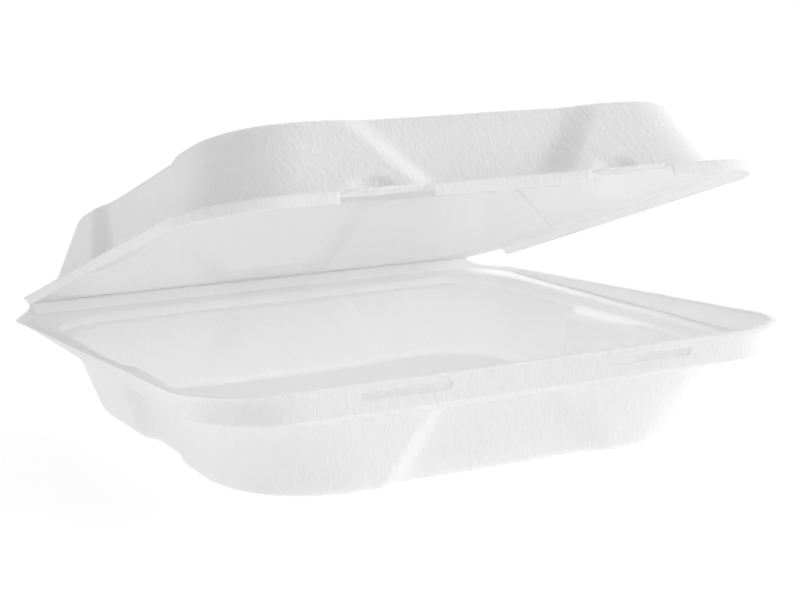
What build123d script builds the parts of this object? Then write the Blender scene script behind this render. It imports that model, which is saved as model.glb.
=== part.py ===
from build123d import *
import os
from collections import namedtuple
from math import atan2, cos, pi, sin, tan

# A hinged lunch box moulded in one sheet of white pulp, standing with its lid half open.
# x runs along the hinge, the front faces -y, z is up from the table.
# The frame sits at the middle of the tray's underside.

# Overall plan, over the rim lip, and the sheet
width = 230.0
depth = 226.0
sheet = 0.9

# Tray: a ledge inside the rim, a low collar and shelf under it, then the wall down to the floor
ledge_height = 33.0
ledge_inset = 11.0
back_margin = 3.5
collar_drop = 3.5
collar_lean = 1.0
shelf_inset = 15.0
floor_inset = 24.0
floor_round = 5.0
round_steps = 3
ledge_front_radius = 38.0
ledge_back_radius = 29.0
floor_front_radius = 40.0
floor_back_radius = 32.0

# Rim: a low band that rises from the hinge to the front, with a lip around its top
rim_rise_front = 10.0
rim_rise_back = 1.6
rim_radius = 33.0
lip_reach = 2.5
band_lean = 1.0
cut_across = 11.0
cut_along = 19.0

# Panels pressed into the middle of each wall, which leave a foot at each corner of the tray.
# A foot is as long as this at the top and at the floor, along the front and back, and along the sides.
flank_run = 10.0
flank_round = 4.0
front_foot_top = 71.0
front_foot_floor = 45.0
side_foot_top = 71.0
side_foot_floor = 64.0
side_panel_forward = 4.0
panel_depth_top = 8.5
panel_depth_floor = 3.0
panel_cove = 4.0

# Hinge: a crease at the ledge, a narrow strip that leans back, and a bead that the lid turns on
crease_radius = 1.0
strip_height = 4.2
strip_lean = 1.5
bead_radius = 0.6
bead_clearance = 0.1

# Lock slots in the front band
lock_spacing = 92.5
slot_width = 32.6
slot_height = 2.5
slot_rise = 5.1
slot_round = 0.8

# Lid, measured shut: its skirt drops inside the band and its panel stands above the flange
lid_clearance = 0.3
skirt_drop = 3.8
skirt_start = 22.0
lid_rise = 27.0
lid_flange = 9.0
lid_top_inset = 19.5
lid_back_inset = 4.0
lid_top_back_inset = 22.0
lid_top_round = 4.0
lid_corner_radius = 30.0
lid_wall_radius = 31.0
lid_top_radius = 28.0
lid_back_radius = 27.0
lid_foot_flange = 74.0
lid_foot_top = 41.0
lid_side_foot_flange = 77.0
lid_side_foot_top = 41.0
lid_panel_depth_flange = 7.0
lid_panel_depth_top = 3.0
lid_panel_cove = 4.0
open_angle = 16.6

# Tabs at the front of the lid, one at each slot, with a scoop in the wall above for a thumb
tab_width = 27.0
tab_notch = 3.0
tab_length = 5.0
tab_clearance = 0.3
tab_round = 2.0
scoop_radius = 15.0
scoop_top_radius = 14.5
scoop_height = 5.5
scoop_depth = 4.0

# Places that follow from those sizes
front = -depth / 2
fold = depth / 2
tip = fold - cut_along
shelf_height = ledge_height - collar_drop
pivot_y = fold + strip_lean
pivot_z = ledge_height + strip_height
band_inset = lip_reach + band_lean + sheet
lid_half = width / 2 - band_inset - lid_clearance
lid_length = pivot_y - front - band_inset - lid_clearance
tab_lean = band_lean * (strip_height - sheet / 2) / rim_rise_front
tab_reach = pivot_y - front - band_inset + tab_lean - tab_clearance
parallel_limit = 1e-9

# One level of a wall: its height, plan half width, front and back, corner radii, the feet along its
# ends and its sides, how deep its panels lie there, and how far its side panels sit from the middle.
Level = namedtuple("Level", "z half front back front_radius back_radius end_foot side_foot panel shift")


def level_at(levels, z):
    """The level at this height, between the two that lie around it."""
    low, high = next(pair for pair in zip(levels, levels[1:]) if z <= pair[1].z)
    share = (z - low.z) / (high.z - low.z)
    return Level(*(a + (b - a) * share for a, b in zip(low, high)))


def stepped(start, end, line, inward, foot, depth_in, skin, shift=0.0):
    """Points along one wall from start to end, with its panel stepped inwards between the feet."""
    direction = 1 if end > start else -1
    spread = skin * (1 - tan(atan2(depth_in, flank_run) / 2))
    near_foot, far_foot = foot - spread + direction * shift, foot - spread - direction * shift
    places = [start + direction * near_foot, start + direction * (near_foot + flank_run),
              end - direction * (far_foot + flank_run), end - direction * far_foot]
    return list(zip(places, (line, line + inward * depth_in, line + inward * depth_in, line)))


def outline(points, radii, z):
    """A closed outline with rounded corners at this height."""
    return Pos(0, 0, z) * Wire(FilletPolyline(*points, radius=radii, close=True).edges())


def wall_outline(level, skin):
    """The wall's outline at one level, moved inwards by the thickness of the skin."""
    half, low, high = level.half - skin, level.front + skin, level.back - skin
    end, side = (level.end_foot, level.panel, skin), (level.side_foot, level.panel, skin, level.shift)
    south = stepped(-half, half, low, 1, *end)
    north = stepped(half, -half, high, -1, *end)
    east = [(x, y) for y, x in stepped(low, high, half, -1, *side)]
    west = [(x, y) for y, x in stepped(high, low, -half, 1, *side)]
    corners = [(-half, low), (half, low), (half, high), (-half, high)]
    near, far = level.front_radius - skin, level.back_radius - skin
    points, radii = [], []
    for corner, radius, wall in zip(corners, (near, near, far, far), (south, east, north, west)):
        points += [corner, *wall]
        radii += [radius] + [flank_round] * len(wall)
    return outline(points, radii, level.z)


def side_face(low, high):
    """The face between two edges, flat where they are parallel lines."""
    straight = low.geom_type == GeomType.LINE and high.geom_type == GeomType.LINE
    if straight and (low % 0).cross(high % 0).length < parallel_limit:
        return Face(Wire(Polyline(low @ 0, low @ 1, high @ 1, high @ 0, close=True).edges()))
    return Face.make_surface_from_curves(low, high)


def stack(outlines):
    """A solid that runs straight from each outline to the next one up."""
    rings = [wire.edges() for wire in outlines]
    faces = [side_face(*pair) for low, high in zip(rings, rings[1:]) for pair in zip(low, high)]
    return Solid(Shell([Face(outlines[0]), *faces, Face(outlines[-1])]))


def pan(levels, skin, corner_round):
    """A pressed pan from its floor to its brim: its outside with no skin, its hollow with a sheet's."""
    lean = atan2(levels[1].half - levels[0].half, levels[1].z - levels[0].z)
    radius = corner_round - skin
    turn = pi / 2 - lean
    outlines = []
    for step in range(round_steps + 1):
        angle = turn * step / round_steps
        rise = radius * (1 - cos(angle))
        inward = radius * (tan(turn / 2) - sin(angle)) + tan(lean) * rise
        outlines.append(wall_outline(level_at(levels, skin + rise), skin + inward))
    brim = level_at(levels, levels[-1].z - sheet + skin)
    outlines += [wall_outline(level, skin) for level in (*levels[1:-1], brim)]
    return stack(outlines)


def tray_level(z, inset, radii, feet, panel):
    """One level of the tray's wall: the back keeps its margin from the fold."""
    return Level(z, width / 2 - inset, front + inset, fold - back_margin - inset, *radii, *feet, panel,
                 -side_panel_forward)


def tray(skin):
    """The tray from its floor to its shelf."""
    floor = tray_level(0, floor_inset, (floor_front_radius, floor_back_radius),
                       (front_foot_floor, side_foot_floor), panel_depth_floor)
    top = tray_level(shelf_height, shelf_inset, (ledge_front_radius, ledge_back_radius),
                     (front_foot_top, side_foot_top), panel_depth_top)
    cove = level_at([floor, top], shelf_height - panel_cove)
    levels = [floor, cove._replace(panel=panel_depth_top), top._replace(panel=panel_depth_top / 2)]
    return pan(levels, skin, floor_round)


def collar(skin):
    """The low step between the tray's shelf and its ledge."""
    rings = []
    for z, inset in ((shelf_height, ledge_inset + collar_lean), (ledge_height, ledge_inset)):
        half = width / 2 - inset - skin
        low, high = front + inset + skin, fold - back_margin - inset - skin
        radii = [ledge_front_radius - skin] * 2 + [ledge_back_radius - skin] * 2
        corners = [(-half, low), (half, low), (half, high), (-half, high)]
        rings.append(outline(corners, radii, z - sheet + skin))
    return stack(rings)


def rim_outline(inset, back, z):
    """The rim's outline with its two slanted cuts at the hinge."""
    half = width / 2 - inset
    slant = atan2(cut_across, cut_along)
    cut = tip - inset * (1 - sin(slant)) / cos(slant)
    far = width / 2 - cut_across - inset / cos(slant) - (back - fold) * tan(slant)
    points = [(-half, front + inset), (half, front + inset), (half, cut), (far, back), (-far, back), (-half, cut)]
    return outline(points, [rim_radius - inset] * 2 + [0] * 4, z)


def above(rise):
    """Everything over the sloping top of the rim, at this height over the plain rim."""
    low = ledge_height + rim_rise_back + rise
    high = ledge_height + rim_rise_front + rise
    slope = (high - low) / (tip - front)
    far, top = fold + width, ledge_height + width
    side = [(front - width, high + slope * width), (tip, low), (far, low), (far, top), (front - width, top)]
    return extrude(make_face(Plane.YZ * Polyline(*side, close=True)), amount=width, both=True)


def band(skin):
    """The rim's band, a little taller than it ends up."""
    bottom = ledge_height - sheet + skin
    top = ledge_height + rim_rise_front + lip_reach
    inset = lip_reach + band_lean + skin
    return stack([rim_outline(inset, fold - skin, bottom),
                  rim_outline(inset - band_lean * (top - bottom) / rim_rise_front, fold - skin, top)])


def lip():
    """The flat lip that runs out from the top of the band."""
    ends = [rim_outline(0, fold, z) for z in (ledge_height, ledge_height + rim_rise_front + lip_reach)]
    return stack(ends) - band(sheet / 2) - above(0) & above(-sheet)


def hinge_strip():
    """The strip between the crease and the lid, with the bead at its top."""
    half = width / 2 - cut_across - sheet
    side = [(fold - sheet, ledge_height - sheet), (fold, ledge_height - sheet),
            (pivot_y + sheet / 2, pivot_z), (pivot_y - sheet / 2, pivot_z)]
    strip = extrude(make_face(Plane.YZ * Polyline(*side, close=True)), amount=half, both=True)
    return strip + Pos(0, pivot_y, pivot_z) * Rot(0, 90, 0) * Cylinder(bead_radius, 2 * half)


def crease(radius):
    """The half-round channel pressed along the foot of the hinge strip."""
    half = width / 2 - cut_across - sheet
    return Pos(0, fold - sheet - crease_radius, ledge_height) * Rot(0, 90, 0) * Cylinder(radius, 2 * half)


def slots():
    """The two openings in the front band that take the lid's tabs."""
    bar = Box(slot_width, 4 * lip_reach, slot_height)
    bar = fillet(bar.edges().filter_by(Axis.Y), slot_round)
    y = front + lip_reach + band_lean
    return [Pos(side * lock_spacing / 2, y, ledge_height + slot_rise) * bar for side in (-1, 1)]


def make_base():
    """The tray, its rim and the hinge strip, in one sheet."""
    outer = tray(0) + collar(0) + band(0)
    hollow = tray(sheet) + collar(sheet) + band(sheet)
    below = Pos(0, 0, ledge_height / 2) * Box(width, 2 * depth, ledge_height)
    channel = (crease(crease_radius + sheet) & below) - crease(crease_radius)
    shell = outer - hollow - above(0) - crease(crease_radius)
    return shell + channel + lip() + hinge_strip() - slots()


def lid_pan(skin):
    """The lid's raised part, built as a pan that stands on its top panel and then turned over."""
    side = lid_half - lid_top_inset, lid_half - lid_flange
    ends = -lid_length + lid_top_inset, -lid_length + lid_flange
    back = -lid_top_back_inset, -lid_back_inset
    panel = Level(0, side[0], ends[0], back[0], lid_top_radius, lid_back_radius,
                  lid_foot_top, lid_side_foot_top, lid_panel_depth_top, 0)
    brim = Level(lid_rise + sheet / 2, side[1], ends[1], back[1], lid_wall_radius, lid_back_radius,
                 lid_foot_flange, lid_side_foot_flange, lid_panel_depth_flange, 0)
    cove = level_at([panel, brim], brim.z - lid_panel_cove)
    levels = [panel, cove._replace(panel=lid_panel_depth_flange), brim._replace(panel=lid_panel_depth_flange / 2)]
    return Pos(0, 0, lid_rise) * mirror(pan(levels, skin, lid_top_round), about=Plane.XY)


def flange(skin, back, low, high):
    """The lid's flange in plan, with its slanted ends at the hinge, between two heights."""
    half, near = lid_half - skin, -lid_length + skin
    narrow = width / 2 - cut_across - sheet
    points = [(-half, near), (half, near), (half, -cut_along), (narrow, back), (-narrow, back),
              (-half, -cut_along)]
    radii = [lid_corner_radius - skin] * 2 + [0] * 4
    return stack([outline(points, radii, z) for z in (low, high)])


def scoops(skin):
    """The two thumb scoops in the lid's front wall, over the tabs."""
    seat = (Align.CENTER, Align.CENTER, Align.MIN)
    cone = Cone(scoop_radius + skin, scoop_top_radius + skin, scoop_height + 2 * skin, align=seat)
    y = -lid_length + lid_flange + scoop_depth - scoop_radius
    return [Pos(side * lock_spacing / 2, y, sheet / 2 - skin) * cone for side in (-1, 1)]


def lid_cuts():
    """What is cut away at the tabs, at the hinge ends of the skirt and along the bead."""
    cuts = []
    for side in (-1, 1):
        place = Pos(side * lock_spacing / 2, -lid_length, 0)
        cuts.append(place * Pos(0, 0, -sheet / 2 - skirt_drop) * Box(tab_width, 4 * sheet, 2 * skirt_drop))
        for end in (-1, 1):
            notch = Box(tab_notch, 2 * tab_length, 4 * skirt_drop)
            cuts.append(place * Pos(end * (tab_width + tab_notch) / 2, 0, 0) * notch)
    hole = bead_radius + bead_clearance
    under = [(-skirt_start, -sheet / 2), (-skirt_start - skirt_drop, -2 * skirt_drop), (sheet, -2 * skirt_drop),
             (sheet, -sheet / 2)]
    bevel = [(-hole, 0), (-hole - sheet / 2, -sheet), (sheet, -sheet), (sheet, 0)]
    for side in (under, bevel):
        cuts.append(extrude(make_face(Plane.YZ * Polyline(*side, close=True)), amount=width, both=True))
    return cuts + [Rot(0, 90, 0) * Cylinder(hole, 2 * width)]


def tabs():
    """The flat tongues that reach for the slots, as far as the band's inner face allows."""
    tongue = Box(tab_width, tab_length, sheet)
    tongue = fillet(tongue.edges().filter_by(Axis.Z).group_by(Axis.Y)[0], tab_round)
    return [Pos(side * lock_spacing / 2, -tab_reach + tab_length / 2, 0) * tongue for side in (-1, 1)]


def make_lid():
    """The lid, built shut about its hinge bead and then opened."""
    skirt = flange(0, 0, -skirt_drop, sheet / 2) - flange(sheet, width, -2 * skirt_drop, -sheet / 2)
    raised = lid_pan(0) - scoops(0)
    hollow = lid_pan(sheet) - scoops(sheet)
    shell = skirt + raised - hollow - lid_cuts() + tabs()
    return Pos(0, pivot_y, pivot_z) * Rot(-open_angle, 0, 0) * shell


os.makedirs("parts", exist_ok=True)
for name, solid in (("base", make_base()), ("lid", make_lid())):
    solid.label = name
    export_step(solid, f"parts/{name}.step")
    print(name, round(solid.volume), solid.is_valid, len(solid.solids()), solid.bounding_box())
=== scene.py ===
"""A moulded pulp lunch box, half open, on a plain pale floor."""

import math

import bmesh
import bpy
from mathutils import Matrix, Vector, noise


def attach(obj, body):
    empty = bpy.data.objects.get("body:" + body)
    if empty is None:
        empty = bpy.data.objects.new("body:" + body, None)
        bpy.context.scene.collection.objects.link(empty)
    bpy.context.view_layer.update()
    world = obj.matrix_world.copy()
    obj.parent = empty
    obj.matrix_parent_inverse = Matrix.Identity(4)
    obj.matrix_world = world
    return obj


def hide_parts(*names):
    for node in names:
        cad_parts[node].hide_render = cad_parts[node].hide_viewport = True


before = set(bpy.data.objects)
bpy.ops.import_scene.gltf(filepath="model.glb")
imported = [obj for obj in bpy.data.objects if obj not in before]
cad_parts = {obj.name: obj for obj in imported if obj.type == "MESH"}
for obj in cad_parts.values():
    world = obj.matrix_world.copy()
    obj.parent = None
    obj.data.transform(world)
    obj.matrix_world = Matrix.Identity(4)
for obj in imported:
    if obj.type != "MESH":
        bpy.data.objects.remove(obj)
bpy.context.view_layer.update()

bl_info = {
    "name": "Pulp lunch box",
    "version": (1, 0, 0),
    "blender": (4, 5, 0),
    "location": "3D View > Sidebar > Lunch Box",
    "description": "Dresses the lunch box frame in moulded pulp and sets up its studio",
    "category": "Add Mesh",
}


# Both halves, in millimetres until a finished piece is put in its place
MM = 0.001
SHEET = 0.9
PIVOT = Vector((0.0, 114.5, 37.2))
OPEN_ANGLE = math.radians(16.6)
STRIP_HALF = 103.1
FLANK_RUN, FLANK_SOFT = 10.0, 1.5
FLAT_PANEL = 3
COVE = 4
LOCK_PLACES = (-46.25, 46.25)

# Tray
LEDGE, SHELF = 33.0, 29.5
FRONT, FOLD, HALF = -113.0, 113.0, 115.0
BACK_INSET, COLLAR_INSET = 3.5, 11
FLOOR_INSET, SHELF_INSET = 24, 15
SIDE_SHIFT = 4.0
RIM_CORNER, REAR_CORNER, RIM_FOOT = 33, 29, 71
BAND_INSET, LIP_INSET = 3.5, 2.5
REAR_RISE = 1.6
TIP, CUT_ACROSS = 94.0, 11.0
SLOT_SIZE, SLOT_DEEP, SLOT_RISE, SLOT_ROUND = (32.6, 12, 2.5), 3, 5.1, 0.8
BEAD_SIDES = 20

# Lid, shut and with its pivot at the origin
LID_LENGTH, LID_HALF, LID_RISE = 222.8, 110.3, 27.0
LID_MIDDLE, LID_BACK = -112.6, -0.8
TOP_INSET, BRIM_INSET = 19.5, 9
EDGE_INSET = 0.7
SKIRT_END = -23
SCOOP_RADIUS, SCOOP_TAPER, WALL_SLOPE = 15.0, 0.1, 0.38
SCOOP_TOP, SCOOP_FADE = 4.9, 1.4
GAP_SIZE, GAP_DROP = (27.4, 3.6, 11.5), 2.75
NOTCH_SIZE, NOTCH_ASIDE = (3, 10, 16), 15
TONGUE_SIZE, TONGUE_SHIFT, TONGUE_ROUND = (26.9, 4.2, SHEET * 0.98), 1.7, 2.0

# How many points an outline has along its middle, flank and end, and round a corner
FRONT_COUNTS = (4, 7, 18)
SIDE_COUNTS = (7, 7, 8, 7, 5)
BACK_COUNTS = (5, 7, 4)
CORNER_COUNT = 14
ROUND_STEPS = 5
CUT_STEPS = 5
NEAR = 1e-6

# Shares of the way from the middle of a flat floor to its edge
FLOOR_SHARES = (0.03, 0.06, 0.09, 0.15, 0.3, 0.5, 0.7, 0.85, 0.95, 0.985)

# Warp of the dried sheet: a slow wave and a finer ripple, that fade near the fold
WAVE, RIPPLE, RIPPLE_SHARE = 0.022, 0.11, 0.3
WARP_FADE = 12
WARP_SEED = 3

# Finish of the pulp
STRAND_STRETCH = 0.25
TURN_WIDTH = 0.05
FELT_SCALE, FELT_SHARE = 0.25, 0.35
ROUGH_LOW, ROUGH_HIGH = 0.82, 0.97
SMOOTH_ANGLE = math.radians(50)

# Studio: each lamp's name, strength setting, azimuth, elevation and spread in degrees
LAMPS = (("right lamp", "right_light", 62, 26, 60), ("left lamp", "left_light", -115, 20, 40),
         ("back lamp", "top_light", 150, 30, 40))
FRONT_CORNER = (-0.64, -0.75, 0.15)
FLOOR_SIZE, FLOOR_DROP = 60, 0.0004
FLOOR_GREY, FLOOR_SEEN = 0.8, 1.1


class TraySettings(bpy.types.PropertyGroup):
    """Sizes of the pressed tray that a moulder would change."""

    floor_round: bpy.props.FloatProperty(
        name="Floor edge", description="Radius round the floor, in millimetres", default=5.0)
    panel_depth: bpy.props.FloatProperty(
        name="Panel depth", description="Depth of the wall panels under the shelf, in millimetres",
        default=8.5)
    rim_rise: bpy.props.FloatProperty(
        name="Rim rise", description="Height of the rim over the ledge at the front, in millimetres",
        default=10.0)
    bead_radius: bpy.props.FloatProperty(
        name="Bead radius", description="Radius of the bead that the lid turns on, in millimetres",
        default=0.59)
    warp: bpy.props.FloatProperty(
        name="Warp", description="How far the dried sheet strays from true, in millimetres", default=0.22)


class LidSettings(bpy.types.PropertyGroup):
    """Sizes of the pressed lid that a moulder would change."""

    top_round: bpy.props.FloatProperty(
        name="Top edge", description="Radius round the top panel, in millimetres", default=4.5)
    panel_depth: bpy.props.FloatProperty(
        name="Panel depth", description="Depth of the wall panels over the flange, in millimetres",
        default=7.0)
    skirt_drop: bpy.props.FloatProperty(
        name="Skirt drop", description="Depth of the skirt, in millimetres", default=3.8)
    scoop_depth: bpy.props.FloatProperty(
        name="Scoop depth", description="Depth of the thumb scoops, in millimetres", default=4.0)
    warp: bpy.props.FloatProperty(
        name="Warp", description="How far the dried sheet strays from true, in millimetres", default=0.22)


class PulpSettings(bpy.types.PropertyGroup):
    """The finish of the moulded pulp."""

    color: bpy.props.FloatVectorProperty(
        name="Pulp colour", description="Colour of the dry pulp", subtype="COLOR", size=3,
        min=0.0, max=1.0, default=(0.975, 0.975, 0.974))
    mottle: bpy.props.FloatProperty(
        name="Mottle", description="How much the colour varies between thick and thin spots", default=0.03,
        min=0.0, max=0.2)
    fibre_width: bpy.props.FloatProperty(
        name="Fibre width", description="Width of one pressed fibre bundle", default=0.0009, unit="LENGTH")
    fibre_depth: bpy.props.FloatProperty(
        name="Fibre depth", description="Height of the fibres on the outside", default=0.0008,
        unit="LENGTH")
    smooth_depth: bpy.props.FloatProperty(
        name="Inner fibre depth", description="Height of the fibres on the pressed inside", default=0.0003,
        unit="LENGTH")
    edge_round: bpy.props.FloatProperty(
        name="Edge rounding", description="Radius that softens the pressed edges", default=0.0004,
        unit="LENGTH")


class StudioSettings(bpy.types.PropertyGroup):
    """The camera and the light."""

    camera_place: bpy.props.FloatVectorProperty(
        name="Camera place", description="Where the camera stands", size=3, unit="LENGTH",
        default=(-0.2914, -0.5822, 0.1654))
    camera_turn: bpy.props.FloatVectorProperty(
        name="Camera turn", description="Yaw, pitch and roll of the camera", size=3, unit="ROTATION",
        default=(math.radians(-27.255), math.radians(-10.477), math.radians(-1.228)))
    lens: bpy.props.FloatProperty(name="Lens", description="Focal length in millimetres", default=78.83)
    room_light: bpy.props.FloatProperty(
        name="Room light", description="Strength of the light from all round", default=0.885, min=0.0)
    front_dip: bpy.props.FloatProperty(
        name="Front dip", description="How much dimmer the room is at the front corner", default=0.6,
        min=0.0, max=1.0)
    top_dip: bpy.props.FloatProperty(
        name="Top dip", description="How much dimmer the room is straight above", default=0.45,
        min=0.0, max=1.0)
    right_light: bpy.props.FloatProperty(
        name="Right lamp", description="Strength of the lamp at the right", default=1.52, min=0.0)
    top_light: bpy.props.FloatProperty(
        name="Top lamp", description="Strength of the lamp above and behind", default=1.0, min=0.0)
    left_light: bpy.props.FloatProperty(
        name="Left lamp", description="Strength of the lamp at the left", default=0.4, min=0.0)
    table_glow: bpy.props.FloatProperty(
        name="Table glow", description="Light that the table sends up", default=0.34, min=0.0)
    floor_shade: bpy.props.FloatProperty(
        name="Floor shade", description="Share of the floor's brightness that shadows take away",
        default=0.3, min=0.0, max=1.0)


def ease(share):
    """A soft step from 0 to 1."""
    share = min(max(share, 0.0), 1.0)
    return share * share * (3 - 2 * share)


def between(low, high, share):
    """The value at this share of the way from low to high."""
    return low + (high - low) * share


def steps(start, stop, count):
    """Even steps from start, the last one short of stop."""
    return [between(start, stop, i / count) for i in range(count)]


def stretches(marks, counts):
    """Steps from mark to mark, as many in each stretch as its count says."""
    return [value for low, high, count in zip(marks, marks[1:], counts) for value in steps(low, high, count)]


def pressed(past, depth):
    """How far the wall is pressed in at this distance past the end of its foot."""
    return depth * ease((past + FLANK_SOFT) / (FLANK_RUN + 2 * FLANK_SOFT))


def arc(cx, cy, radius, start):
    """A quarter turn of a corner, counter-clockwise."""
    return [(cx + radius * math.cos(a), cy + radius * math.sin(a))
            for a in steps(start, start + math.pi / 2, CORNER_COUNT)]


def half_outline(half, front, back, radii, feet, panel, shift, cut=None):
    """The right half of an outline in plan, from the middle of its front to the middle of its back.

    A cut takes the place of the corner at the back."""
    near, far = radii
    end_foot, side_foot = feet
    soft = FLANK_SOFT
    flank_out = half - end_foot + soft
    flank_in = half - end_foot - FLANK_RUN - soft
    points = []
    for x in stretches((0, flank_in, flank_out, half - near), FRONT_COUNTS):
        points.append((x, front + pressed(half - end_foot - x, panel)))
    points += arc(half - near, front + near, near, -math.pi / 2)
    front_foot, back_foot = side_foot - shift, side_foot + shift
    marks = (front + near, front + front_foot - soft, front + front_foot + FLANK_RUN + soft,
             back - back_foot - FLANK_RUN - soft, back - back_foot + soft, back - far)
    for y in stretches(marks, SIDE_COUNTS):
        past = min(y - front - front_foot, back - back_foot - y)
        points.append((half - pressed(past, panel), y))
    points += cut or arc(half - far, back - far, far, 0)
    for x in stretches((half - far, flank_out, flank_in, 0), BACK_COUNTS):
        points.append((x, back - pressed(half - end_foot - x, panel)))
    return points + [(0.0, back - pressed(half - end_foot, panel))]


def whole(half_points):
    """Both halves of a ring, from the right half."""
    return half_points + [(-x, y, z) for x, y, z in reversed(half_points[1:-1])]


def level_ring(outline, z):
    """A whole ring at one height, from the right half of its outline."""
    return whole([(x, y, z) for x, y in outline])


def blend_rings(first, last, share):
    """The ring at this share of the way between two others."""
    return [tuple(between(a, b, share) for a, b in zip(p, q)) for p, q in zip(first, last)]


def pan_levels(radius, brim_inset, flat_inset, depth, heights):
    """Heights over a pan's flat face, each with the extra inset that the rounded edge there gives."""
    lean = flat_inset - brim_inset
    turn = math.pi / 2 - math.atan2(lean, depth)
    levels = []
    for step in range(ROUND_STEPS + 1):
        angle = turn * step / ROUND_STEPS
        rise = radius * (1 - math.cos(angle))
        levels.append((rise, radius * (math.tan(turn / 2) - math.sin(angle)) + lean / depth * rise))
    return levels + [(z, 0.0) for z in heights]


def panel_at(height, brim, deepest):
    """Depth of a wall panel at this height over the flat face, halved in the cove at the brim."""
    cove = brim - COVE
    return (between(FLAT_PANEL, deepest, min(height / cove, 1))
            * between(1, 0.5, max(height - cove, 0) / COVE))


def floor_rings(rings, middle):
    """These rings, with others that carry the first one in to a small hole at the middle."""
    inner = []
    for share in FLOOR_SHARES:
        inner.append([(x * share, middle + (y - middle) * share, z) for x, y, z in rings[0]])
    return inner + rings


def sheet_mesh(name, rings, upward):
    """A moulded sheet from its rings, thickened, rounded and made a plain mesh."""
    count = len(rings[0])
    points = [Vector(p) for ring in rings for p in ring]
    faces = []
    for k in range(len(rings) - 1):
        for i in range(count):
            j = (i + 1) % count
            face = (k * count + i, (k + 1) * count + i, (k + 1) * count + j, k * count + j)
            faces.append(face if upward else face[::-1])
    mesh = bpy.data.meshes.new(name)
    mesh.from_pydata(points, [], faces)
    for finish in ("dry pulp", "smooth pulp"):
        mesh.materials.append(bpy.data.materials[finish])
    piece = bpy.data.objects.new(name, mesh)
    bpy.context.scene.collection.objects.link(piece)
    thick = piece.modifiers.new("thickness", "SOLIDIFY")
    thick.thickness = SHEET
    thick.offset = -1
    thick.use_even_offset = True
    thick.material_offset = 1
    smooth = piece.modifiers.new("rounding", "SUBSURF")
    smooth.levels = smooth.render_levels = 1
    settle(piece)
    close_middle(piece.data, rings[1])
    return piece


def close_middle(mesh, ring):
    """Close both faces of the sheet with one flat face each, a little inside this small ring."""
    inside = 0.93
    shape = bmesh.new()
    shape.from_mesh(mesh)
    front, back = min(y for x, y, z in ring), max(y for x, y, z in ring)
    middle, half = (front + back) / 2, max(x for x, y, z in ring)
    doomed = []
    for face in shape.faces:
        x, y, z = face.calc_center_median()
        if max(abs(x) / half, 2 * abs(y - middle) / (back - front)) < inside:
            doomed.append(face)
    bmesh.ops.delete(shape, geom=doomed, context="FACES")
    filled = bmesh.ops.edgeloop_fill(shape, edges=[edge for edge in shape.edges if edge.is_boundary])
    for face in filled["faces"]:
        face.material_index = max(beside.material_index for beside in face.edges[0].link_faces)
    bmesh.ops.recalc_face_normals(shape, faces=shape.faces)
    shape.to_mesh(mesh)
    shape.free()


def settle(piece):
    """Turn the modifiers of a piece into plain mesh."""
    graph = bpy.context.evaluated_depsgraph_get()
    mesh = bpy.data.meshes.new_from_object(piece.evaluated_get(graph))
    piece.modifiers.clear()
    piece.data = mesh


def warp(piece, amount, fold):
    """Let the dried sheet stray a little from true, inside its own limits and away from the fold line."""
    noise.seed_set(WARP_SEED)
    lows = [min(v.co[i] for v in piece.data.vertices) for i in range(3)]
    highs = [max(v.co[i] for v in piece.data.vertices) for i in range(3)]
    for vertex in piece.data.vertices:
        drift = noise.noise_vector(vertex.co * WAVE) * amount
        drift += noise.noise_vector(vertex.co * RIPPLE) * amount * RIPPLE_SHARE
        moved = vertex.co + drift * ease(abs(vertex.co.y - fold) / WARP_FADE)
        vertex.co = Vector(min(max(moved[i], lows[i]), highs[i]) for i in range(3))


def bars(name, sizes, corner=0.0, along=1):
    """One mesh of bars, each given by its middle and its size, used to cut or to join.

    The edges that run along the given axis are rounded by the corner radius."""
    shape = bmesh.new()
    for middle, size in sizes:
        matrix = Matrix.Translation(middle) @ Matrix.Diagonal((*size, 1))
        bmesh.ops.create_cube(shape, size=1, matrix=matrix)
    if corner:
        edges = [edge for edge in shape.edges
                 if abs((edge.verts[1].co - edge.verts[0].co).normalized()[along]) > 0.9]
        bmesh.ops.bevel(shape, geom=edges, offset=corner, segments=4, profile=0.5, affect="EDGES")
    mesh = bpy.data.meshes.new(name)
    shape.to_mesh(mesh)
    shape.free()
    tool = bpy.data.objects.new(name, mesh)
    bpy.context.scene.collection.objects.link(tool)
    return tool


def combine(piece, tool, operation):
    """Cut a tool out of a piece, or join it on, and drop the tool."""
    change = piece.modifiers.new(operation, "BOOLEAN")
    change.operation = operation
    change.object = tool
    change.solver = "EXACT"
    settle(piece)
    bpy.data.objects.remove(tool)


def place(piece, matrix):
    """Put a piece where it belongs, in metres, with smooth faces and crisp cut edges."""
    piece.data.transform(Matrix.Scale(MM, 4) @ matrix)
    piece.data.shade_smooth()
    piece.data.set_sharp_from_angle(angle=SMOOTH_ANGLE)


def rim_height(y, front_rise):
    """Height of the rim's top over the table."""
    return LEDGE + between(front_rise, REAR_RISE, min((y - FRONT) / (TIP - FRONT), 1.0))


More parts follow.
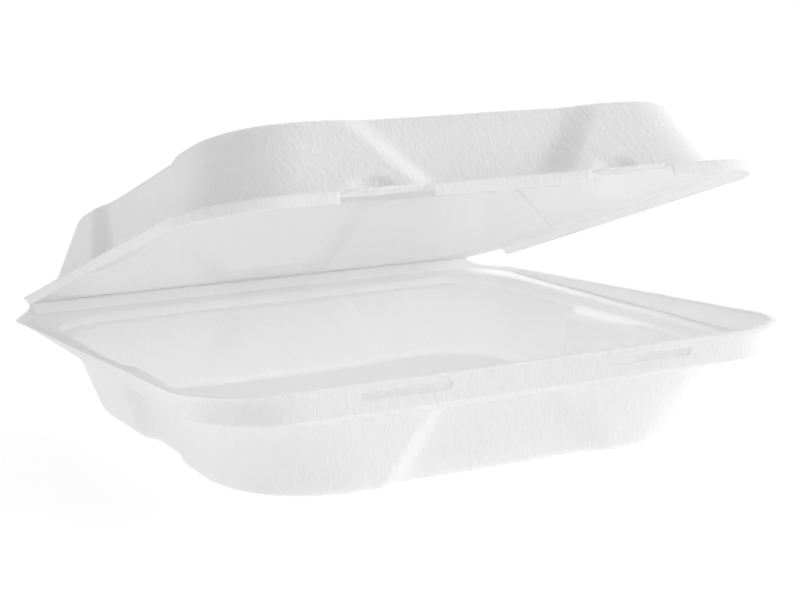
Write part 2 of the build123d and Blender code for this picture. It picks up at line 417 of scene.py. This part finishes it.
def rim_half(inset):
    """The right half of the rim's outline, with its slanted cut at the hinge, moved inwards by the inset."""
    slant = math.atan2(CUT_ACROSS, FOLD - TIP)
    half = HALF - inset
    cut_y = TIP - inset * (1 - math.sin(slant)) / math.cos(slant)
    far = HALF - CUT_ACROSS - inset / math.cos(slant)
    start_y = FOLD - BACK_INSET - COLLAR_INSET - REAR_CORNER
    stop_x = HALF - COLLAR_INSET - REAR_CORNER
    cut = [(half, y) for y in steps(start_y, cut_y, CUT_STEPS)]
    cut += list(zip(steps(half, far, CUT_STEPS), steps(cut_y, FOLD, CUT_STEPS)))
    cut += [(x, FOLD) for x in [far] + steps(min(STRIP_HALF, far - 0.9), stop_x, 3)]
    radii, feet = (RIM_CORNER - inset, FOLD - start_y), (RIM_FOOT - inset, RIM_FOOT)
    return half_outline(half, FRONT + inset, FOLD, radii, feet, 0, SIDE_SHIFT, cut)


def rim_ring(inset, share, front_rise, hinge_line):
    """A ring at this share of the rim band's height, whose stretch along the hinge strip has its own line."""
    foot = LEDGE - SHEET
    ring = []
    for x, y in rim_half(inset):
        if y >= FOLD - NEAR and x <= STRIP_HALF + NEAR:
            ring.append((x, *hinge_line))
        else:
            ring.append((x, y, between(foot, rim_height(y, front_rise) - SHEET, share)))
    return whole(ring)


def tray_rings(settings):
    """The underside of the base, from the floor out to the lip and the hinge strip."""
    rings = []
    back = FOLD - BACK_INSET
    heights = (6.0, 10.0, 14.5, 19.0, 22.5, 24.8, 25.9, 26.9, 27.8, 28.45)
    for z, inward in pan_levels(settings.floor_round, SHELF_INSET, FLOOR_INSET, SHELF, heights):
        share = z / SHELF
        inset = between(FLOOR_INSET, SHELF_INSET, share) + inward
        panel = panel_at(z, SHELF, settings.panel_depth)
        radii = between(40, 38, share) - inward, between(32, 29, share) - inward
        feet = between(45, 71, share) - inward, between(64, 71, share) - inward
        outline = half_outline(HALF - inset, FRONT + inset, back - inset, radii, feet, panel, SIDE_SHIFT)
        rings.append(level_ring(outline, z))
    rings = floor_rings(rings, (FRONT + back) / 2)
    collar = ((13.6, 28.6), (12.5, 28.6), (11.9, 28.9), (11.5, 30.3), (11.15, 31.7), (10.7, 32.1))
    for inset, z in collar:
        radii, feet = (49 - inset, 40 - inset), (86 - inset, 86 - inset)
        outline = half_outline(HALF - inset, FRONT + inset, back - inset, radii, feet, 0, SIDE_SHIFT)
        rings.append(level_ring(outline, z))
    ledge = rings[-1]
    band_foot = rim_ring(BAND_INSET, 0, settings.rim_rise, (FOLD - 3.7, LEDGE - SHEET))
    rings += [blend_rings(ledge, band_foot, share) for share in (0.12, 0.45, 0.8, 0.95)]
    rings.append(band_foot)
    groove = ((FOLD - 2.9, 31.35), (FOLD - 1.9, 31.1), (FOLD - 0.8, 31.35), (FOLD - 0.05, 32.2))
    for share, hinge_line in zip((0.12, 0.5, 0.88, 1.0), groove):
        rings.append(rim_ring(between(BAND_INSET, LIP_INSET, share), share, settings.rim_rise, hinge_line))
    strip = ((FOLD + 0.2, 33.2), (FOLD + 1.0, 35.2), (FOLD + 1.75, 36.9), (FOLD + 1.95, 37.5))
    for inset, hinge_line in zip((2.1, 1.2, 0.4, 0.0), strip):
        rings.append(rim_ring(inset, 1, settings.rim_rise, hinge_line))
    return rings


def lid_edge(inset):
    """The right half of the lid's flange in plan, with its slanted end at the hinge."""
    half = LID_HALF - inset
    back = LID_BACK - inset
    start_y, slant_y, stop_x = -31.0, -19.0, 74.3
    cut = [(half, y) for y in steps(start_y, slant_y - 5, 2) + [slant_y - 5, slant_y - 3, slant_y]]
    slant = zip(steps(half, STRIP_HALF - inset, CUT_STEPS), steps(slant_y, back, CUT_STEPS))
    cut += list(slant)[1:]
    cut += [(x, back) for x in [STRIP_HALF - inset] + steps(STRIP_HALF - 3, stop_x, 4)]
    radii, feet = (30 - inset, back - start_y), (83 - inset, 86)
    return half_outline(half, -LID_LENGTH + inset, back, radii, feet, 0, 0, cut)


def scoop(x, z, depth):
    """How far the thumb scoops press into the lid's front wall here, over its slope."""
    reach = SCOOP_RADIUS - SCOOP_TAPER * z
    aside = min(abs(x - lock) for lock in LOCK_PLACES)
    if aside >= reach:
        return 0.0
    dent = math.sqrt(reach * reach - aside * aside) - SCOOP_RADIUS + depth - WALL_SLOPE * z
    return max(0.0, dent) * (1 - ease((z - SCOOP_TOP) / SCOOP_FADE))


def lid_rings(settings):
    """The upper side of the lid, shut, from the middle of its top out to the skirt's edge."""
    rings = []
    top = SHEET / 2
    brim = LID_RISE + top
    heights = (5.5, 9.0, 13.0, 16.5, 19.2, 20.5, 21.3, 22.1, 23.1, 24.0, 24.9, 25.6, 26.2)
    for depth, inward in pan_levels(settings.top_round, BRIM_INSET, TOP_INSET, brim, heights):
        share = depth / brim
        inset = between(TOP_INSET, BRIM_INSET, share)
        half = LID_HALF - inset - inward
        front = -LID_LENGTH + inset + inward
        back = -between(22, 4, share) - inward
        panel = panel_at(depth, brim, settings.panel_depth)
        radii = between(28, 31, share) - inward, 27 - inward
        feet = between(41, 74, share) - inward, between(41, 77, share) - inward
        z = LID_RISE - depth
        ring = []
        for x, y in half_outline(half, front, back, radii, feet, panel, 0):
            dent = scoop(x, z, settings.scoop_depth) if y < front + 1 else 0.0
            ring.append((x, y + dent, z))
        rings.append(whole(ring))
    rings = floor_rings(rings, LID_MIDDLE)
    inner = [(x, y, top) for x, y, z in rings[-1]]
    outer = level_ring(lid_edge(EDGE_INSET), top)
    rings += [blend_rings(inner, outer, share) for share in (0.06, 0.3, 0.65, 1.0)]
    for fall, rest in zip((0.08, 0.2, 0.5, 0.9, 1.0), (0.6, 0.5, 0.35, 0.15, 0.0)):
        ring = []
        for (x, y), (flat_x, flat_y) in zip(lid_edge(0), lid_edge(rest)):
            if y < SKIRT_END:
                ring.append((x, y, between(top, -settings.skirt_drop, fall)))
            else:
                ring.append((flat_x, flat_y, top))
        rings.append(whole(ring))
    return rings


def add_nodes(tree, **kinds):
    """New nodes by name, each of the kind given."""
    return {name: tree.nodes.new(kind) for name, kind in kinds.items()}


def set_inputs(node, values):
    """Give these sockets of a node their values."""
    for socket, value in values.items():
        node.inputs[socket].default_value = value


def join(tree, node, links):
    """Link named nodes, each link given as a node, its output, the next node and its input."""
    for source, output, target, socket in links:
        tree.links.new(node[source].outputs[output], node[target].inputs[socket])


def empty_tree(owner):
    """The node tree of a material or a world, with nothing in it."""
    owner.use_nodes = True
    owner.node_tree.nodes.clear()
    return owner.node_tree


def bead_tree():
    """A geometry tree that runs a round bead along x, by its length and radius."""
    tree = bpy.data.node_groups.new("round bead", "GeometryNodeTree")
    sockets = (("Length", "NodeSocketFloat"), ("Radius", "NodeSocketFloat"), ("Sides", "NodeSocketInt"),
               ("Material", "NodeSocketMaterial"))
    for name, kind in sockets:
        tree.interface.new_socket(name, in_out="INPUT", socket_type=kind)
    tree.interface.new_socket("Geometry", in_out="OUTPUT", socket_type="NodeSocketGeometry")
    node = add_nodes(
        tree, sizes="NodeGroupInput", half="ShaderNodeMath", less="ShaderNodeMath",
        start="ShaderNodeCombineXYZ", end="ShaderNodeCombineXYZ", line="GeometryNodeCurvePrimitiveLine",
        ring="GeometryNodeCurvePrimitiveCircle", tube="GeometryNodeCurveToMesh",
        real="GeometryNodeRealizeInstances", finish="GeometryNodeSetMaterial", out="NodeGroupOutput")
    for name, factor in (("half", 0.5), ("less", -0.5)):
        node[name].operation = "MULTIPLY"
        set_inputs(node[name], {1: factor})
    set_inputs(node["tube"], {"Fill Caps": True})
    join(tree, node, (
        ("sizes", "Length", "half", 0), ("sizes", "Length", "less", 0),
        ("less", "Value", "start", "X"), ("half", "Value", "end", "X"),
        ("start", "Vector", "line", "Start"), ("end", "Vector", "line", "End"),
        ("sizes", "Radius", "ring", "Radius"), ("sizes", "Sides", "ring", "Resolution"),
        ("line", "Curve", "tube", "Curve"), ("ring", "Curve", "tube", "Profile Curve"),
        ("tube", "Mesh", "real", "Geometry"), ("real", "Geometry", "finish", "Geometry"),
        ("sizes", "Material", "finish", "Material"), ("finish", "Geometry", "out", "Geometry")))
    return tree


def pulp_material(name, settings, depth):
    """Dry pressed pulp: matt, nearly white, with short fibres of this depth that stand along the walls."""
    tree = empty_tree(bpy.data.materials.new(name))
    node = add_nodes(
        tree, out="ShaderNodeOutputMaterial", skin="ShaderNodeBsdfPrincipled", place="ShaderNodeTexCoord",
        felt="ShaderNodeTexNoise", sides="ShaderNodeVectorMath", split="ShaderNodeSeparateXYZ",
        lead="ShaderNodeMath", turn="ShaderNodeMapRange", fibres="ShaderNodeMix",
        cloud="ShaderNodeTexNoise", shade="ShaderNodeMapRange", tint="ShaderNodeMix",
        dull="ShaderNodeMapRange", relief="ShaderNodeMix", bump="ShaderNodeBump", edge="ShaderNodeBevel")
    short, fine = STRAND_STRETCH, 1 / settings.fibre_width
    for socket, stretch in (("A", (1, short, short)), ("B", (short, 1, short))):
        node.update(add_nodes(tree, map="ShaderNodeMapping", strands="ShaderNodeTexNoise"))
        set_inputs(node["map"], {"Scale": stretch})
        set_inputs(node["strands"], {"Scale": fine, "Detail": 3})
        join(tree, node, (("place", "Object", "map", "Vector"), ("map", "Vector", "strands", "Vector"),
                          ("strands", "Fac", "fibres", socket)))
    node["sides"].operation = "ABSOLUTE"
    node["lead"].operation = "SUBTRACT"
    node["tint"].data_type = "RGBA"
    node["tint"].blend_type = "MULTIPLY"
    tint_a, tint_b, tint_out = 6, 7, 2
    set_inputs(node["turn"], {"From Min": -TURN_WIDTH, "From Max": TURN_WIDTH})
    set_inputs(node["felt"], {"Scale": FELT_SCALE * fine})
    set_inputs(node["cloud"], {"Scale": 45, "Detail": 5})
    set_inputs(node["relief"], {"Factor": FELT_SHARE})
    set_inputs(node["bump"], {"Distance": depth})
    set_inputs(node["edge"], {"Radius": settings.edge_round})
    set_inputs(node["shade"], {"To Min": 1 - settings.mottle, "To Max": 1})
    set_inputs(node["tint"], {"Factor": 1, tint_a: (*settings.color, 1)})
    set_inputs(node["dull"], {"To Min": ROUGH_LOW, "To Max": ROUGH_HIGH})
    set_inputs(node["skin"], {"Specular IOR Level": 0.3, "Subsurface Weight": 0.8,
                              "Subsurface Radius": (1, 1, 1), "Subsurface Scale": 0.004})
    join(tree, node, (
        ("place", "Normal", "sides", 0), ("sides", "Vector", "split", "Vector"),
        ("split", "X", "lead", 0), ("split", "Y", "lead", 1),
        ("lead", "Value", "turn", "Value"), ("turn", "Result", "fibres", "Factor"),
        ("place", "Object", "felt", "Vector"), ("place", "Object", "cloud", "Vector"),
        ("fibres", "Result", "relief", "A"), ("felt", "Fac", "relief", "B"),
        ("relief", "Result", "bump", "Height"), ("edge", "Normal", "bump", "Normal"),
        ("cloud", "Fac", "shade", "Value"), ("shade", "Result", "tint", tint_b),
        ("tint", tint_out, "skin", "Base Color"), ("felt", "Fac", "dull", "Value"),
        ("dull", "Result", "skin", "Roughness"), ("bump", "Normal", "skin", "Normal"),
        ("skin", "BSDF", "out", "Surface")))


def background_rays(tree):
    """A value that is 1 for the rays that show the background: seen, mirrored or let through."""
    rays = tree.nodes.new("ShaderNodeLightPath")
    total = rays.outputs["Is Camera Ray"]
    for kind in ("Is Glossy Ray", "Is Transmission Ray"):
        either = tree.nodes.new("ShaderNodeMath")
        either.operation = "MAXIMUM"
        tree.links.new(total, either.inputs[0])
        tree.links.new(rays.outputs[kind], either.inputs[1])
        total = either.outputs["Value"]
    return total


def floor_material(shade, table_glow):
    """A pale lit table that reads white and still takes the box's shadow."""
    material = bpy.data.materials.new("floor")
    tree = empty_tree(material)
    node = add_nodes(
        tree, out="ShaderNodeOutputMaterial", seen="ShaderNodeAddShader",
        shadowed="ShaderNodeBsdfDiffuse", glow="ShaderNodeEmission", plain="ShaderNodeBsdfDiffuse",
        table="ShaderNodeEmission", lit="ShaderNodeAddShader", mix="ShaderNodeMixShader")
    set_inputs(node["plain"], {"Color": (FLOOR_GREY, FLOOR_GREY, FLOOR_GREY, 1)})
    set_inputs(node["table"], {"Strength": table_glow})
    set_inputs(node["shadowed"], {"Color": (shade, shade, shade, 1)})
    set_inputs(node["glow"], {"Strength": FLOOR_SEEN - shade})
    tree.links.new(background_rays(tree), node["mix"].inputs["Fac"])
    join(tree, node, (
        ("shadowed", "BSDF", "seen", 0), ("glow", "Emission", "seen", 1),
        ("plain", "BSDF", "lit", 0), ("table", "Emission", "lit", 1),
        ("lit", "Shader", "mix", 1), ("seen", "Shader", "mix", 2), ("mix", "Shader", "out", "Surface")))
    return material


def light_world(settings):
    """Light from all round, dimmer from the front corner and from above, and white behind the floor."""
    world = bpy.data.worlds.new("room")
    bpy.context.scene.world = world
    tree = empty_tree(world)
    node = add_nodes(
        tree, out="ShaderNodeOutputWorld", room="ShaderNodeBackground", place="ShaderNodeTexCoord",
        facing="ShaderNodeVectorMath", dip="ShaderNodeMapRange", white="ShaderNodeBackground",
        mix="ShaderNodeMixShader", split="ShaderNodeSeparateXYZ", high="ShaderNodeMapRange",
        both="ShaderNodeMath")
    node["facing"].operation = "DOT_PRODUCT"
    node["both"].operation = "MULTIPLY"
    strength = settings.room_light
    set_inputs(node["facing"], {1: FRONT_CORNER})
    set_inputs(node["dip"], {"From Min": 0.1, "From Max": 1.0, "To Min": strength,
                             "To Max": strength * (1 - settings.front_dip)})
    set_inputs(node["high"], {"To Min": 1, "To Max": 1 - settings.top_dip})
    tree.links.new(background_rays(tree), node["mix"].inputs["Fac"])
    join(tree, node, (
        ("place", "Generated", "facing", 0), ("facing", "Value", "dip", "Value"),
        ("place", "Generated", "split", "Vector"), ("split", "Z", "high", "Value"),
        ("dip", "Result", "both", 0), ("high", "Result", "both", 1),
        ("both", "Value", "room", "Strength"), ("room", "Background", "mix", 1),
        ("white", "Background", "mix", 2), ("mix", "Shader", "out", "Surface")))


def soft_lamp(name, azimuth, elevation, strength, spread):
    """A wide soft lamp that shines from this direction."""
    data = bpy.data.lights.new(name, "SUN")
    data.energy = strength
    data.angle = math.radians(spread)
    lamp = bpy.data.objects.new(name, data)
    bpy.context.scene.collection.objects.link(lamp)
    a, e = math.radians(azimuth), math.radians(elevation)
    towards = Vector((math.sin(a) * math.cos(e), -math.cos(a) * math.cos(e), math.sin(e)))
    lamp.rotation_euler = towards.to_track_quat("Z", "Y").to_euler()


class LUNCHBOX_OT_studio(bpy.types.Operator):
    """Add the camera, the floor and the soft light"""

    bl_idname = "lunchbox.studio"
    bl_label = "Studio"

    def execute(self, context):
        scene = context.scene
        settings = scene.lunchbox_studio
        data = bpy.data.cameras.new("camera")
        data.lens = settings.lens
        data.clip_start, data.clip_end = 0.01, 100
        camera = bpy.data.objects.new("camera", data)
        scene.collection.objects.link(camera)
        yaw, pitch, roll = settings.camera_turn
        turn = Matrix.Rotation(yaw, 4, "Z") @ Matrix.Rotation(math.pi / 2 + pitch, 4, "X")
        camera.matrix_world = (Matrix.Translation(settings.camera_place) @ turn
                               @ Matrix.Rotation(roll, 4, "Z"))
        scene.camera = camera
        bpy.ops.mesh.primitive_plane_add(size=FLOOR_SIZE, location=(0, 0, -FLOOR_DROP))
        floor = context.object
        floor.name = "floor"
        floor.data.materials.append(floor_material(settings.floor_shade, settings.table_glow))
        light_world(settings)
        for name, strength, azimuth, elevation, spread in LAMPS:
            soft_lamp(name, azimuth, elevation, getattr(settings, strength), spread)
        scene.view_settings.view_transform = "Standard"
        scene.cycles.diffuse_bounces = 12
        scene.cycles.max_bounces = 24
        return {"FINISHED"}


class LUNCHBOX_OT_pulp(bpy.types.Operator):
    """Make the dry pulp, rough outside and smooth where the mould pressed it"""

    bl_idname = "lunchbox.pulp"
    bl_label = "Pulp surface"

    def execute(self, context):
        settings = context.scene.lunchbox_pulp
        pulp_material("dry pulp", settings, settings.fibre_depth)
        pulp_material("smooth pulp", settings, settings.smooth_depth)
        return {"FINISHED"}


class LUNCHBOX_OT_base(bpy.types.Operator):
    """Press the tray, its rim and the hinge strip from one sheet"""

    bl_idname = "lunchbox.base"
    bl_label = "Tray and rim"

    def execute(self, context):
        settings = context.scene.lunchbox_tray
        piece = sheet_mesh("pressed tray", tray_rings(settings), False)
        warp(piece, settings.warp, PIVOT.y)
        slots = [(Vector((x, FRONT + SLOT_DEEP, LEDGE + SLOT_RISE)), SLOT_SIZE) for x in LOCK_PLACES]
        combine(piece, bars("slots", slots, SLOT_ROUND), "DIFFERENCE")
        place(piece, Matrix())
        piece.name = "pressed_tray"
        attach(piece, "tray")
        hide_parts("base")
        return {"FINISHED"}


class LUNCHBOX_OT_bead(bpy.types.Operator):
    """Run the round bead along the top of the hinge strip"""

    bl_idname = "lunchbox.bead"
    bl_label = "Hinge bead"

    def execute(self, context):
        piece = bpy.data.objects.new("hinge_bead", bpy.data.meshes.new("hinge bead"))
        context.scene.collection.objects.link(piece)
        tree = bead_tree()
        grow = piece.modifiers.new("bead", "NODES")
        grow.node_group = tree
        sizes = {"Length": 2 * STRIP_HALF, "Radius": context.scene.lunchbox_tray.bead_radius,
                 "Sides": BEAD_SIDES, "Material": bpy.data.materials["dry pulp"]}
        for socket in tree.interface.items_tree:
            if socket.name in sizes:
                grow[socket.identifier] = sizes[socket.name]
        settle(piece)
        place(piece, Matrix.Translation(PIVOT))
        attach(piece, "tray")
        return {"FINISHED"}


class LUNCHBOX_OT_lid(bpy.types.Operator):
    """Press the lid with its skirt, tabs and thumb scoops"""

    bl_idname = "lunchbox.lid"
    bl_label = "Lid"

    def execute(self, context):
        settings = context.scene.lunchbox_lid
        piece = sheet_mesh("pressed lid", lid_rings(settings), True)
        warp(piece, settings.warp, 0.0)
        edges = [Vector((x, -LID_LENGTH, 0)) for x in LOCK_PLACES]
        sides = [Vector((side * NOTCH_ASIDE, 0, 0)) for side in (-1, 1)]
        gaps = [(edge + Vector((0, 0, -GAP_DROP)), GAP_SIZE) for edge in edges]
        notches = [(edge + side, NOTCH_SIZE) for edge in edges for side in sides]
        tongues = [(edge + Vector((0, TONGUE_SHIFT, 0)), TONGUE_SIZE) for edge in edges]
        combine(piece, bars("gaps", gaps), "DIFFERENCE")
        combine(piece, bars("notches", notches), "DIFFERENCE")
        combine(piece, bars("tongues", tongues, TONGUE_ROUND, along=2), "UNION")
        place(piece, Matrix.Translation(PIVOT) @ Matrix.Rotation(-OPEN_ANGLE, 4, "X"))
        piece.name = "pressed_lid"
        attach(piece, "cover")
        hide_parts("lid")
        return {"FINISHED"}


class LUNCHBOX_PT_panel(bpy.types.Panel):
    """The steps that dress the lunch box"""

    bl_idname = "LUNCHBOX_PT_panel"
    bl_label = "Lunch box"
    bl_space_type = "VIEW_3D"
    bl_region_type = "UI"
    bl_category = "Lunch Box"

    def draw(self, context):
        layout = self.layout
        for operator in OPERATORS:
            layout.operator(operator.bl_idname)
        for settings in (getattr(context.scene, name) for name in SETTINGS):
            for name in settings.bl_rna.properties.keys():
                if name not in ("rna_type", "name"):
                    layout.prop(settings, name)


OPERATORS = (LUNCHBOX_OT_studio, LUNCHBOX_OT_pulp, LUNCHBOX_OT_base, LUNCHBOX_OT_bead, LUNCHBOX_OT_lid)
SETTINGS = {"lunchbox_tray": TraySettings, "lunchbox_lid": LidSettings, "lunchbox_pulp": PulpSettings,
            "lunchbox_studio": StudioSettings}
CLASSES = (*SETTINGS.values(), *OPERATORS, LUNCHBOX_PT_panel)


def register():
    for cls in CLASSES:
        bpy.utils.register_class(cls)
    for name, settings in SETTINGS.items():
        setattr(bpy.types.Scene, name, bpy.props.PointerProperty(type=settings))


def unregister():
    for name in SETTINGS:
        delattr(bpy.types.Scene, name)
    for cls in reversed(CLASSES):
        bpy.utils.unregister_class(cls)


def main():
    register()
    bpy.ops.lunchbox.studio()
    bpy.ops.lunchbox.pulp()
    bpy.ops.lunchbox.base()
    bpy.ops.lunchbox.bead()
    bpy.ops.lunchbox.lid()


if __name__ == "__main__":
    main()
